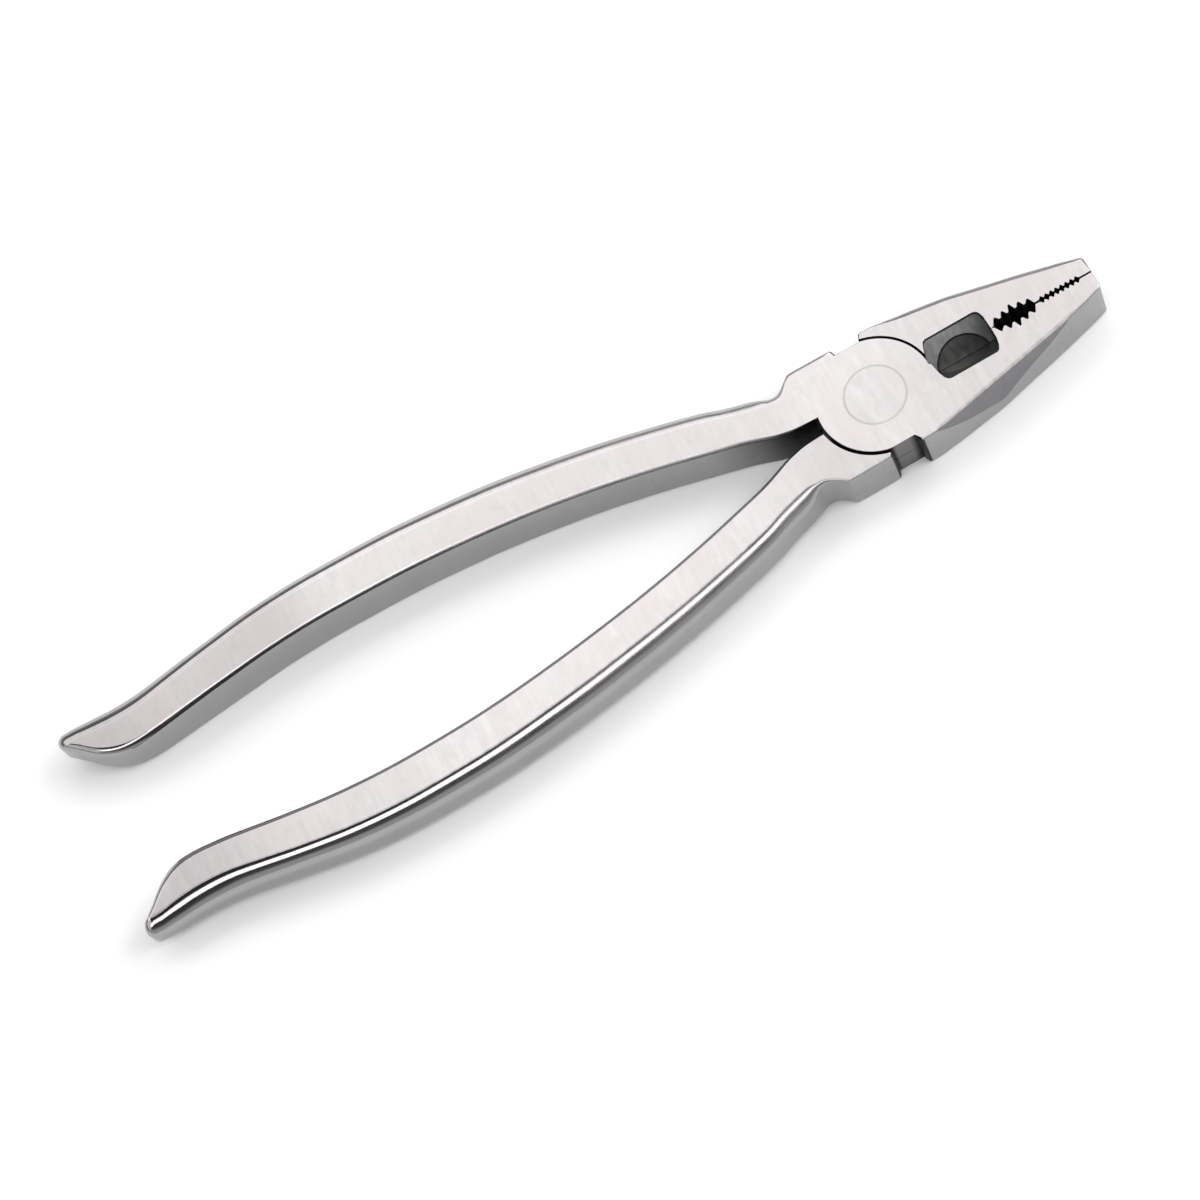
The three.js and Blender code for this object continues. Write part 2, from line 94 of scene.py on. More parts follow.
END = [
    [-144, 22.3, -144, 18.3, -144, 12.05, -144, 13.4],
    [-148, 22.1, -147.6, 18.05, -148.0, 11.8, -147.7, 13.2],
    [-151.5, 22.25, -150.8, 18.15, -151.6, 12.2, -150.9, 13.6],
    [-154.7, 22.6, -153.7, 18.5, -154.6, 13.4, -153.7, 14.65],
    [-157.2, 22.8, -156.1, 18.95, -157.0, 14.95, -156.0, 16.1],
    [-159.2, 22.95, -158.0, 19.4, -159.0, 16.95, -158.1, 17.95],
]
NOSE_C = (-160.65, 21.05)
NOSE_R = 1.87
NOSE_TIP = (-159.6, 19.4)
NOSE_ANGLES = [92, 115, 140, 165, 190, 212, 232]
JAW = [
    [2.95, 12.35], [3.4, 12.52], [5, 12.5], [8, 12.17], [12, 11.62], [16, 10.97], [19.6, 10.37], [20.6, 10.15], [24, 9.27],
    [28, 8.26], [32, 7.28], [36, 6.22], [40, 5.1], [43, 4.12], [44.2, 3.72], [44.62, 3.46], [44.78, 3.0],
]
SHOULDER = [
    [-2.55, 11.05], [-2.85, 12.0], [-3.25, 12.35], [-7, 12.42], [-11.2, 12.45], [-12.1, 12.3], [-13, 11.6],
    [-14, 11.0], [-15, 10.52], [-16, 10.24], [-17.2, 10.42],
]
# how far each handle stands off the common shape, x and y
SET_LOWER = [[-165, 0.85], [-155, 1.0], [-148, 1.25], [-141, 1.33], [-133, 1.08], [-125, 0.8], [-115, 0.62], [-100, 0.49], [-75, 0.45], [-50, 0.4], [-30, 0.25], [-16.5, 0]]
SET_UPPER = [[-165, 1.55], [-155, 1.3], [-148, 0.78], [-140, 0.42], [-130, 0.06], [-120, -0.08], [-100, -0.19], [-85, -0.1], [-68, 0.05], [-55, -0.05], [-40, -0.25], [-28, -0.3], [-16.5, 0]]
COARSE = [[25.5, 1.5], [27.2, 1.9], [28.9, 2.4], [30.6, 1.95], [32.3, 1.55]]
COARSE_CREST = [[26.35, 0.85], [28.05, 1.1], [29.75, 1.15], [31.45, 0.9]]
FINE_X = [34.55, 35.58, 36.61, 37.64, 38.67, 39.7, 40.73, 41.76]
FINE_DEPTH = 0.55


def lerp(a, b, t):
    return a + (b - a) * t


def smooth(rows, step, size=None):
    out = []
    rows = [list(r) for r in rows]
    for i in range(len(rows) - 1):
        p0, p1, p2, p3 = rows[max(0, i - 1)], rows[i], rows[i + 1], rows[min(len(rows) - 1, i + 2)]
        n = max(1, round(math.hypot(p2[0] - p1[0], p2[1] - p1[1]) / step))
        for k in range(n):
            t = k / n
            t2, t3 = t * t, t * t * t
            out.append([
                (2 * t3 - 3 * t2 + 1) * p1[j] + (t3 - 2 * t2 + t) * (p2[j] - p0[j]) / 2
                + (-2 * t3 + 3 * t2) * p2[j] + (t3 - t2) * (p3[j] - p1[j]) / 2
                for j in range(len(p1))
            ])
    out.append(list(rows[-1]))
    return out


def loss(x):
    return 0.0 if x > -120 else min(1.45, 0.5 * ((-120 - x) / 20) ** 1.55)


def broken(x):
    # how far the handle's inner edges are a straight bevel: all of it, fading out into the rounded end
    t = min(1.0, max(0.0, (x + 157) / 15))
    return t * t * (3 - 2 * t)


def broken_low(x):
    # the same on the lower face, where it runs on to the nose
    t = min(1.0, max(0.0, (x + 159.2) / 7))
    return t * t * (3 - 2 * t)


def neck(x):
    # radius of the neck's outer edge on the upper face
    t = min(1.0, max(0.0, (-12.3 - x) / 3.2))
    return EDGE_R + 1.35 * t * t * (3 - 2 * t)


# ---- one lever: handle to +Y, jaw to -Y, disc in the upper layer -----------------------------------
def rim():
    pts = []

    def add(x, y, r, f=None, rz=None, d=0.0, rb=None, bev=0.0, bevb=None, fb=None, rzb=None):
        pts.append({"w": (x, y), "r": r, "f": f, "rz": r if rz is None else rz, "d": d, "rb": rb, "fb": fb, "rzb": rzb,
                    "bev": bev, "bevb": bev if bevb is None else bevb})

    def arc(radius, a0, a1, n, r):
        for i in range(n + 1):
            a = math.radians(lerp(a0, a1, i / n))
            add(radius * math.cos(a), radius * math.sin(a), r)

    flat_a = math.degrees(math.asin(FLAT_Y / DISC_R))
    add(2.5, -11.3, EDGE_R * 0.6)
    for x, y in smooth(JAW[:14], 1.2):
        g = min(1.0, max(0.0, (x - 4.5) / 7.5))
        g = g * g * (3 - 2 * g)
        e = 1 - 0.3 * min(1.0, max(0.0, (x - 39) / 4))
        add(x, -y, EDGE_R, rb=(lerp(EDGE_R, BEVEL_Y * e, g), lerp(EDGE_R, BEVEL_Z * e, g)), bevb=g)
    for x, y in JAW[14:]:
        add(x, -y, EDGE_R * 0.8, rb=(BEVEL_Y * 0.5, BEVEL_Z * 0.6), bevb=0.8)
    add(44.78, -PART, TOOTH_R)
    add(42.75, -PART, TOOTH_R)
    for x in reversed(FINE_X):
        add(x + 0.43, -FINE_CREST, TOOTH_R)
        add(x + 0.05, -PART - FINE_DEPTH, TOOTH_R)
        add(x - 0.05, -PART - FINE_DEPTH, TOOTH_R)
        add(x - 0.43, -FINE_CREST, TOOTH_R)
    add(33.1, -PART, TOOTH_R)
    for i in range(len(COARSE) - 1, -1, -1):
        x, d = COARSE[i]
        add(x + 0.13, -d, TOOTH_R)
        add(x - 0.13, -d, TOOTH_R)
        if i > 0:
            cx, cd = COARSE_CREST[i - 1]
            add(cx + 0.2, -cd, TOOTH_R)
            add(cx - 0.2, -cd, TOOTH_R)
    add(24.6, -PART, TOOTH_R)
    add(24.3, -BLADE_PART, TOOTH_R * 0.6)
    a0 = math.degrees(math.asin(-BLADE_PART / DISC_R))
    arc(DISC_R, a0, flat_a, 72, SEAM_R)
    add(-2.35, FLAT_Y, SEAM_R)
    for x, y in smooth(SHOULDER, 0.45):
        t = min(1, max(0, (-12.4 - x) / 5.2))
        r = EDGE_R + 0.75 * t * t
        # bevel along the shoulder on the upper face, turning into the neck's round
        g = min(1.0, max(0.0, (-3.3 - x) / 1.5)) * min(1.0, max(0.0, (x + 14.0) / 2.0))
        g = g * g * (3 - 2 * g)
        add(x, y, lerp(max(r, neck(x)), SHOULDER_Y, g), rz=lerp(max(r, neck(x)), SHOULDER_Z, g), bev=g, rb=(r, r), bevb=0.0)
    # handle stations and end, outer and inner side together
    rows = []
    for x, yi, yo, ro, ri, d in HANDLE:
        b = broken(x)
        rows.append([x, yo, x, yo - ro, x, yi, x, yi + ri * lerp(1, INNER_Y, b), d, min(ro, MID - d - 0.4), ri * lerp(1, INNER_Z, b),
                     x, yi + ri * INNER_Y, ri * INNER_Z])
    for xo, yo, fx, fy, xi, yi, gx, gy in END:
        d = loss(xo)
        b = broken(xo)
        b2 = broken_low(xo)
        ka, kb = lerp(1, INNER_Y, b), lerp(1, INNER_Y, b2)
        rz = 1.35 + 0.35 * (-144 - xo) / 15.2
        rows.append([xo, yo, fx, fy, xi, yi, lerp(xi, gx, ka), lerp(yi, gy, ka), d, MID - d - 0.55, rz * lerp(1, INNER_Z, b),
                     lerp(xi, gx, kb), lerp(yi, gy, kb), rz * lerp(1, INNER_Z, b2)])
    rows = smooth(rows, 0.9)
    outer, inner = [], []
    for q in rows:
        outer.append(len(pts))
        up = max(0.0, neck(q[0]) - q[9]) if q[0] > -27 else 0.0
        add(q[0], q[1], 0, f=(q[2], q[3] - up), rz=q[9] + up, d=max(0.0, q[8]), fb=(q[2], q[3]), rzb=q[9])
    nose = []
    last = rows[-1]
    ctrl = [[last[0], last[1], last[2], last[3], last[9], last[8]]]
    for i, deg in enumerate(NOSE_ANGLES):
        a = math.radians(deg)
        ctrl.append([
            NOSE_C[0] + NOSE_R * math.cos(a), NOSE_C[1] + NOSE_R * math.sin(a),
            NOSE_TIP[0] + 0.22 * math.cos(a), NOSE_TIP[1] + 0.22 * math.sin(a),
            lerp(last[9], last[10], i / (len(NOSE_ANGLES) - 1)), 1.45,
        ])
    ctrl.append([last[4], last[5], last[6], last[7], last[10], last[8]])
    for q in smooth(ctrl, 0.22)[1:-1]:
        nose.append(len(pts))
        add(q[0], q[1], 0, f=(q[2], q[3]), rz=q[4], d=q[5])
    for q in reversed(rows):
        inner.append(len(pts))
        add(q[4], q[5], 0, f=(q[6], q[7]), rz=q[10], d=max(0.0, q[8]), bev=broken(q[4]), bevb=broken_low(q[4]), fb=(q[11], q[12]), rzb=q[13])
    add(-16.6, 1.82, 0.4)
    add(-15.6, 1.75, 0.33)
    add(-14.5, 1.72, 0.25)
    add(-12.6, 1.70, 0.15)
    a1 = 180 - math.degrees(math.asin(1.7 / DISC_R))
    arc(DISC_R, a1, 180 + flat_a, 72, SEAM_R)
    add(2.3, -FLAT_Y, SEAM_R)

    n = len(pts)

    def offset(i, r):
        w, a, b = pts[i]["w"], pts[i - 1]["w"], pts[(i + 1) % n]["w"]
        e1 = (w[0] - a[0], w[1] - a[1])
        e2 = (b[0] - w[0], b[1] - w[1])
        l1, l2 = math.hypot(*e1), math.hypot(*e2)
        n1, n2 = (-e1[1] / l1, e1[0] / l1), (-e2[1] / l2, e2[0] / l2)
        m = (n1[0] + n2[0], n1[1] + n2[1])
        ml = math.hypot(*m)
        m = (m[0] / ml, m[1] / ml)
        c = max(0.45, m[0] * n1[0] + m[1] * n1[1])
        return (w[0] + m[0] * r / c, w[1] + m[1] * r / c)

    for i, p in enumerate(pts):
        if p["f"] is None:
            p["f"] = offset(i, p["r"])
            p["fb"] = offset(i, p["rb"][0]) if p["rb"] else p["f"]
        elif p["fb"] is None:
            p["fb"] = p["f"]
        if p["rzb"] is None:
            p["rzb"] = p["rb"][1] if p["rb"] else p["rz"]
    return pts, outer, list(reversed(inner)), nose


def lever_blank():
    pts, outer, inner, nose = rim()
    n = len(pts)
    verts, faces, rings = [], [], []

    def ring(fn):
        rings.append(len(verts))
        verts.extend(fn(p) for p in pts)

    def edge(k, bev):
        # quarter round (bev 0) to straight bevel (bev 1)
        a, u = k / K * math.pi / 2, k / K
        return lerp(math.sin(a), u, 0.85 * bev), lerp(1 - math.cos(a), u, 0.85 * bev)

    def upper(p, k):
        s, c = edge(k, p["bev"])
        return lerp(p["f"][0], p["w"][0], s), lerp(p["f"][1], p["w"][1], s), T - p["d"] - p["rz"] * c

    def lower(p, k):
        s, c = edge(k, p["bevb"])
        return lerp(p["fb"][0], p["w"][0], s), lerp(p["fb"][1], p["w"][1], s), p["d"] + p["rzb"] * c

    for k in range(K + 1):
        ring(lambda p: upper(p, k))
    for k in range(K, -1, -1):
        ring(lambda p: lower(p, k))
    for r in range(len(rings) - 1):
        for i in range(n):
            j = (i + 1) % n
            faces.append((rings[r] + i, rings[r + 1] + i, rings[r + 1] + j, rings[r] + j))
    head = list(range(inner[0], n)) + list(range(0, outer[0] + 1))
    for key, base, flip in (("f", rings[0], False), ("fb", rings[-1], True)):
        loop = [Vector((pts[i][key][0], pts[i][key][1], 0)) for i in head]
        cap = []
        for t in tessellate_polygon([loop]):
            t = [head[k] for k in t]
            a, b, c = (pts[i][key] for i in t)
            if (b[0] - a[0]) * (c[1] - a[1]) - (b[1] - a[1]) * (c[0] - a[0]) < 0:
                t.reverse()
            cap.append(t)
        cap += [[outer[i], outer[i + 1], inner[i + 1], inner[i]] for i in range(len(outer) - 1)]
        fan = [outer[-1], *nose, inner[-1]]
        mid = len(fan) // 2
        cap += [[fan[0], fan[i], fan[i + 1]] for i in range(1, mid)]
        cap += [[fan[0], fan[mid], fan[-1]]]
        cap += [[fan[-1], fan[i], fan[i + 1]] for i in range(mid, len(fan) - 2)]
        for t in cap:
            faces.append(tuple(base + i for i in (reversed(t) if flip else t)))
    return verts, faces


def mesh_object(name, verts, faces):
    me = bpy.data.meshes.new(name)
    me.from_pydata([tuple(c * 1.0 for c in v) for v in verts], [], faces)
    me.validate()
    me.update()
    ob = bpy.data.objects.new(name, me)
    bpy.context.scene.collection.objects.link(ob)
    return ob


def prism(points, z0, z1):
    n = len(points)
    verts = [(x, y, z0) for x, y in points] + [(x, y, z1) for x, y in points]
    area = sum(points[i - 1][0] * points[i][1] - points[i][0] * points[i - 1][1] for i in range(n))
    order = list(range(n)) if area > 0 else list(reversed(range(n)))
    faces = [tuple(n + i for i in order), tuple(reversed(order))]
    for a in range(n):
        i, j = order[a], order[(a + 1) % n]
        faces.append((i, j, n + j, n + i))
    return verts, faces


def turned(profile, segments):
    verts, faces, rows = [], [], []
    for r, z in profile:
        if r < 1e-9:
            rows.append([len(verts)])
            verts.append((0, 0, z))
        else:
            rows.append(list(range(len(verts), len(verts) + segments)))
            verts += [(r * math.cos(2 * math.pi * i / segments), r * math.sin(2 * math.pi * i / segments), z) for i in range(segments)]
    for a, b in zip(rows, rows[1:]):
        for i in range(segments):
            j = (i + 1) % segments
            if len(a) == 1 and len(b) == 1:
                continue
            if len(a) == 1:
                faces.append((a[0], b[j], b[i]))
            elif len(b) == 1:
                faces.append((a[i], a[j], b[0]))
            else:
                faces.append((a[i], a[j], b[j], b[i]))
    return verts, faces


def moved(shape, matrix):
    verts, faces = shape
    out = [tuple(matrix @ Vector(v)) for v in verts]
    if matrix.to_3x3().determinant() < 0:
        faces = [tuple(reversed(f)) for f in faces]
    return out, faces


def boolean(ob, shape, operation="DIFFERENCE"):
    tool = mesh_object("tool", *shape)
    mod = ob.modifiers.new("cut", "BOOLEAN")
    mod.operation = operation
    mod.object = tool
    mod.solver = "MANIFOLD"
    bpy.context.view_layer.update()
    dg = bpy.context.evaluated_depsgraph_get()
    me = bpy.data.meshes.new_from_object(ob.evaluated_get(dg))
    ob.modifiers.clear()
    old = ob.data
    ob.data = me
    bpy.data.meshes.remove(old)
    old = tool.data
    bpy.data.objects.remove(tool)
    bpy.data.meshes.remove(old)
    return ob


SLOPE = (T - WINDOW_WALL - MID - BLADE_LAND) / (WINDOW_HALF - BLADE_PART)
WINDOW_UPPER = [(11.35, 1), (11.45, -0.2), (11.6, -1.1), (11.78, -2.2), (11.95, -2.9), (12.3, -3.9), (12.75, -4.45), (13.3, -WINDOW_HALF),
                (22.9, -WINDOW_HALF), (23.35, -4.35), (23.75, -3.5), (24.02, -2.2), (24.1, 1)]
WINDOW_LOWER = [(10.5, 1), (10.5, -0.5), (11.3, -2.0), (11.95, -3.9), (12.25, -4.45), (12.8, -WINDOW_HALF),
                (22.6, -WINDOW_HALF), (23.25, -4.45), (23.6, -4.0), (23.95, -2.9), (24.1, 1)]


def window_cut(outline):
    yz = [
        (1.0, MID + BLADE_LAND - SLOPE * (1.0 + BLADE_PART)), (-BLADE_PART, MID + BLADE_LAND), (-WINDOW_HALF, T - WINDOW_WALL),
        (-WINDOW_HALF - 2, T - WINDOW_WALL + 2 * SLOPE), (-WINDOW_HALF - 2, T + 4), (1.0, T + 4),
    ]
    carry = Matrix(((0, 0, 1, 8), (1, 0, 0, 0), (0, 1, 0, 0), (0, 0, 0, 1)))
    block = mesh_object("window", *moved(prism(yz, 0, 20), carry))
    boolean(block, prism(outline, MID - 2, T + 2), "INTERSECT")
    me = block.data
    shape = ([tuple(v.co) for v in me.vertices], [tuple(p.vertices) for p in me.polygons])
    bpy.data.objects.remove(block)
    bpy.data.meshes.remove(me)
    return shape


def spot_cut():
    alpha = math.atan(SLOPE)
    along = Vector((0, math.cos(alpha), -math.sin(alpha)))
    normal = Vector((0, math.sin(alpha), math.cos(alpha)))
    c = Vector((SPOT_X, -BLADE_PART, MID + 0.02)) + along * SPOT_BELOW
    # flat facet with a rounded foot
    fr = 0.5
    prof = [(0, 0)] + [(SPOT_R - fr + fr * math.sin(a), fr - fr * math.cos(a)) for a in np.linspace(0, math.pi / 2, 7)] + [(SPOT_R + 0.1, 1.2), (SPOT_R + 0.1, 9), (0, 9)]
    x = Vector((1, 0, 0))
    y = normal.cross(x)
    m = Matrix(((x.x, y.x, normal.x, c.x), (x.y, y.y, normal.y, c.y), (x.z, y.z, normal.z, c.z), (0, 0, 0, 1)))
    return moved(turned(prof, 128), m)


def joint_cut():
    pts = []
    z1 = MID + LAYER_GAP / 2
    n = 110
    for i in range(n + 1):
        a = math.radians(lerp(-90, 90, i / n))
        pts.append((JAW_ARC_R * math.cos(a), JAW_ARC_R * math.sin(a)))
    pts += [(1.6, 14), (-2.2, 14)]
    for i in range(n + 1):
        a = math.radians(lerp(101, 259, i / n))
        pts.append((SHOULDER_ARC_R * math.cos(a), SHOULDER_ARC_R * math.sin(a)))
    pts += [(-2.2, -14), (1.6, -14)]
    return prism(pts, -1, z1)


def bore_cut():
    c = RIVET_CLEAR
    return turned([
        (0, -1), (RIVET_HEAD_R + c + 0.9, -1), (RIVET_HEAD_R + c, 0), (RIVET_SHANK_R + c, RIVET_SINK),
        (RIVET_SHANK_R + c, T - RIVET_SINK), (RIVET_HEAD_R + c, T), (RIVET_HEAD_R + c + 0.9, T + 1), (0, T + 1),
    ], 128)


FLIP_Z = Matrix(((1, 0, 0, 0), (0, 1, 0, 0), (0, 0, -1, T), (0, 0, 0, 1)))


def half_space(normal, p0, reach):
    """Everything on the normal's side of a plane through p0, as a slab."""
    z = Vector(normal).normalized()
    x = Vector((1.0, 0.21, 0.0)).normalized()
    y = z.cross(x).normalized()
    x = y.cross(z)
    m = Matrix(((x.x, y.x, z.x, p0[0]), (x.y, y.y, z.y, p0[1]), (x.z, y.z, z.z, p0[2]), (0, 0, 0, 1)))
    return moved(prism([(-14, -reach), (50, -reach), (50, reach), (-14, reach)], 0, 6), m)


def side_facet():
    # ground facet on the jaw's outer side, leaning in towards the upper face: y = y0 + slope x + lean (z - z0)
    return half_space((FACET_SLOPE, -1.0, FACET_LEAN), (8.0, FACET_Y, FACET_Z), 14)


def roll_off():
    # the upper face falls away slightly before the facet
    t = math.radians(5.6)
    return half_space((0.215 * math.sin(t), -math.sin(t), math.cos(t)), (20.0, -8.75, T), 6)


def set_off(table, x):
    if x >= table[-1][0]:
        return 0.0
    n = len(table)
    for i in range(n - 1):
        (x0, y0), (x1, y1) = table[i], table[i + 1]
        if x <= x1:
            break
    xa, ya = table[max(0, i - 1)]
    xb, yb = table[min(n - 1, i + 2)]
    m0 = (y1 - ya) / (x1 - xa)
    m1 = 0.0 if i == n - 2 else (yb - y0) / (xb - x0)
    h = x1 - x0
    t = (x - x0) / h
    return ((1 + 2 * t) * (1 - t) ** 2 * y0 + t * (1 - t) ** 2 * h * m0
            + t * t * (3 - 2 * t) * y1 + t * t * (t - 1) * h * m1)


def bend_handle(me, table):
    for v in me.vertices:
        v.co.y += set_off(table, v.co.x)


def make_lever(name):
    ob = mesh_object(name, *lever_blank())
    for shape in (
        joint_cut(), bore_cut(), window_cut(WINDOW_UPPER), moved(window_cut(WINDOW_LOWER), FLIP_Z),
        spot_cut(), moved(spot_cut(), FLIP_Z), roll_off(), side_facet(),
    ):
        boolean(ob, shape)
    return ob


def flat_normals(me, angle_deg):
    """Corner normals: smooth over edges under angle_deg, weighted by area, with flat faces kept flat."""
    n_faces = len(me.polygons)
    normals = np.empty(n_faces * 3)
    me.polygons.foreach_get("normal", normals)
    normals = normals.reshape(-1, 3)
    areas = np.empty(n_faces)
    me.polygons.foreach_get("area", areas)
    weight = np.where(np.abs(normals[:, 2]) > 0.99999, areas * 1e4 + 1e-3, areas)
    loops_v = np.empty(len(me.loops), dtype=np.int64)
    me.loops.foreach_get("vertex_index", loops_v)
    starts = np.empty(n_faces, dtype=np.int64)
    totals = np.empty(n_faces, dtype=np.int64)
    me.polygons.foreach_get("loop_start", starts)
    me.polygons.foreach_get("loop_total", totals)
    loop_face = np.repeat(np.arange(n_faces), totals)
    order = np.argsort(loops_v, kind="stable")
    limit = math.cos(math.radians(angle_deg))
    out = normals[loop_face].copy()
    sv = loops_v[order]
    bounds = np.flatnonzero(np.diff(sv)) + 1
    for group in np.split(order, bounds):
        f = loop_face[group]
        nf = normals[f]
        same = (nf @ nf.T) > limit
        acc = (same * weight[f][None, :]) @ nf
        length = np.linalg.norm(acc, axis=1)
        length[length < 1e-20] = 1
        out[group] = acc / length[:, None]
    me.polygons.foreach_set("use_smooth", np.ones(n_faces, dtype=bool))
    me.normals_split_custom_set([tuple(v) for v in out])


# ---- materials --------------------------------------------------------------------------------------
def node_tree(name):
    mat = bpy.data.materials.new(name)
    mat.use_nodes = True
    nt = mat.node_tree
    nt.nodes.clear()
    out = nt.nodes.new("ShaderNodeOutputMaterial")
    bsdf = nt.nodes.new("ShaderNodeBsdfPrincipled")
    nt.links.new(bsdf.outputs["BSDF"], out.inputs["Surface"])
    return mat, nt, bsdf


def noise(nt, coord, scale, detail=3.0, roughness=0.55, stretch=None):
    src = coord
    if stretch is not None:
        mp = nt.nodes.new("ShaderNodeMapping")
        mp.inputs["Scale"].default_value = stretch
        nt.links.new(coord, mp.inputs["Vector"])
        src = mp.outputs["Vector"]
    nz = nt.nodes.new("ShaderNodeTexNoise")
    nz.inputs["Scale"].default_value = scale
    nz.inputs["Detail"].default_value = detail
    nz.inputs["Roughness"].default_value = roughness
    nt.links.new(src, nz.inputs["Vector"])
    return nz.outputs["Fac"]


def ramp(nt, value, lo, hi, out_lo, out_hi, kind="LINEAR"):
    mr = nt.nodes.new("ShaderNodeMapRange")
    mr.interpolation_type = kind
    mr.inputs["From Min"].default_value = lo
    mr.inputs["From Max"].default_value = hi
    mr.inputs["To Min"].default_value = out_lo
    mr.inputs["To Max"].default_value = out_hi
    nt.links.new(value, mr.inputs["Value"])
    return mr.outputs["Result"]


def mix_colour(nt, fac, a, b, blend="MIX"):
    mx = nt.nodes.new("ShaderNodeMix")
    mx.data_type = "RGBA"
    mx.blend_type = blend
    for sock, v in ((mx.inputs[6], a), (mx.inputs[7], b)):
        if isinstance(v, tuple):
            sock.default_value = v
        else:
            nt.links.new(v, sock)
    if isinstance(fac, float):
        mx.inputs[0].default_value = fac
    else:
        nt.links.new(fac, mx.inputs[0])
    return mx.outputs[2]


def mix_value(nt, fac, a, b):
    mx = nt.nodes.new("ShaderNodeMix")
    mx.data_type = "FLOAT"
    for sock, v in ((mx.inputs[2], a), (mx.inputs[3], b)):
        if isinstance(v, float):
            sock.default_value = v
        else:
            nt.links.new(v, sock)
    nt.links.new(fac, mx.inputs[0])
    return mx.outputs[0]


def multiply(nt, a, b):
    m = nt.nodes.new("ShaderNodeMath")
    m.operation = "MULTIPLY"
    nt.links.new(a, m.inputs[0])
    nt.links.new(b, m.inputs[1])
    return m.outputs[0]


def gain(nt, x, steps):
    """Product of soft steps along the tool: each (from, to, factor) goes from 1 to the factor."""
    value = None
    for a, b, factor in steps:
        step = ramp(nt, x, b, a, factor, 1.0, "SMOOTHSTEP")
        value = step if value is None else multiply(nt, value, step)
    return value


def scaled(nt, colour, value):
    m = nt.nodes.new("ShaderNodeVectorMath")
    m.operation = "SCALE"
    nt.links.new(colour, m.inputs[0])
    nt.links.new(value, m.inputs["Scale"])
    return m.outputs["Vector"]


